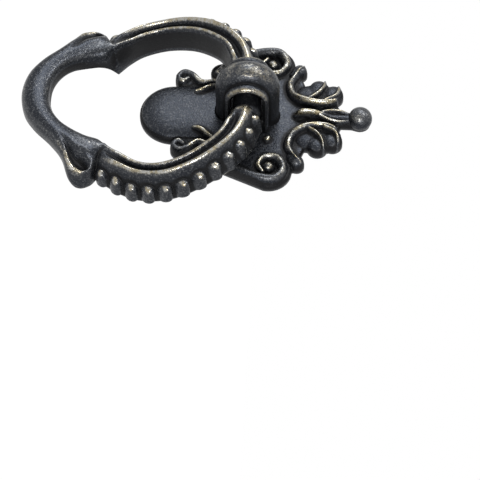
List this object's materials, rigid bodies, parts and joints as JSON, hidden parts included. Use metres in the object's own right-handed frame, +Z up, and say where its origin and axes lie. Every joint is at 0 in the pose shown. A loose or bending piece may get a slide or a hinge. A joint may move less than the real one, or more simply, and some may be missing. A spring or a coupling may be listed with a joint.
{
  "type": "drop ring handle",
  "caption": "Cast drop-ring handle: a leafy backplate, an arched eye with a threaded post, and a beaded heart-shaped ring that swings in the eye.",
  "frame": {"origin": "where the axis of the post and its threaded hole meets the flat back of the plate", "axes": "+X across the plate, +Y back into the door or drawer front, +Z up towards the ball finial; the ring hangs down"},
  "size_m": [0.0398, 0.0201, 0.0618],
  "materials": {
    "antique_casting": "dark gunmetal wash, satin, rubbed to a pale bronze on the raised edges"
  },
  "bodies": {
    "mount": {"backplate": "antique_casting", "eye_post": "antique_casting"},
    "ring": {"ring": "antique_casting"}
  },
  "joints": [
    {"name": "ring_swing", "type": "hinge", "parent": "mount", "child": "ring", "pos_m": [0, -0.0075, 0], "axis": [-1, 0, 0], "range_deg": [-10, 175]}
  ]
}
